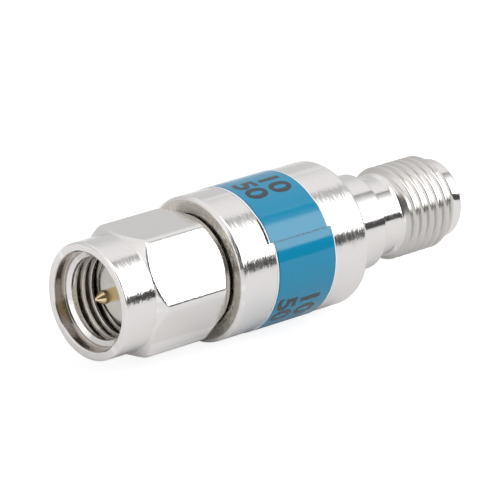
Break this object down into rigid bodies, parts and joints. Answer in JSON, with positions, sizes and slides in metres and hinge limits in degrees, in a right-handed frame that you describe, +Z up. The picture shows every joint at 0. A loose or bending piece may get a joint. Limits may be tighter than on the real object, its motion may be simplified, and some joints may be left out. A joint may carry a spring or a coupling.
{
  "type": "coaxial attenuator",
  "caption": "Small round coaxial attenuator with a pin plug and captive hexagon nut at one end, a metal body wrapped in blue tape, and a threaded jack at the other end.",
  "frame": {"origin": "on the axis, at the plug's reference plane, which is the front face of its insulator and barrel", "axes": "+X along the axis from the plug to the jack, +Z up, so that two flats of the nut lie level"},
  "size_m": [0.0308, 0.0098, 0.0098],
  "materials": {
    "nut_nickel": "polished",
    "body_nickel": "satin",
    "jack_nickel": "polished",
    "inner_nickel": "satin",
    "gold_plate": "polished",
    "spring_bronze": "satin",
    "fluoropolymer": "satin",
    "blue_tape": "gloss",
    "alumina": "matte"
  },
  "bodies": {
    "attenuator_body": {"body_sleeve": "body_nickel", "label_tape": "blue_tape", "plug_barrel": "inner_nickel", "plug_front_insulator": "fluoropolymer", "plug_rear_insulator": "fluoropolymer", "plug_pin": "gold_plate", "chip_clamp_upper": "inner_nickel", "chip_clamp_lower": "inner_nickel", "attenuator_chip": "alumina", "jack_shell": "jack_nickel", "jack_front_insulator": "fluoropolymer", "jack_rear_insulator": "fluoropolymer", "jack_contact": "gold_plate"},
    "ring": {"retaining_ring": "spring_bronze"},
    "nut": {"coupling_nut": "nut_nickel"}
  },
  "joints": [
    {"name": "nut_float", "type": "slide", "parent": "attenuator_body", "child": "ring", "axis": [1, 0, 0], "range_m": [-0.00025, 0.0001]},
    {"name": "nut_spin", "type": "hinge", "parent": "ring", "child": "nut", "pos_m": [0.0039, 0, 0], "axis": [1, 0, 0], "continuous": true}
  ]
}
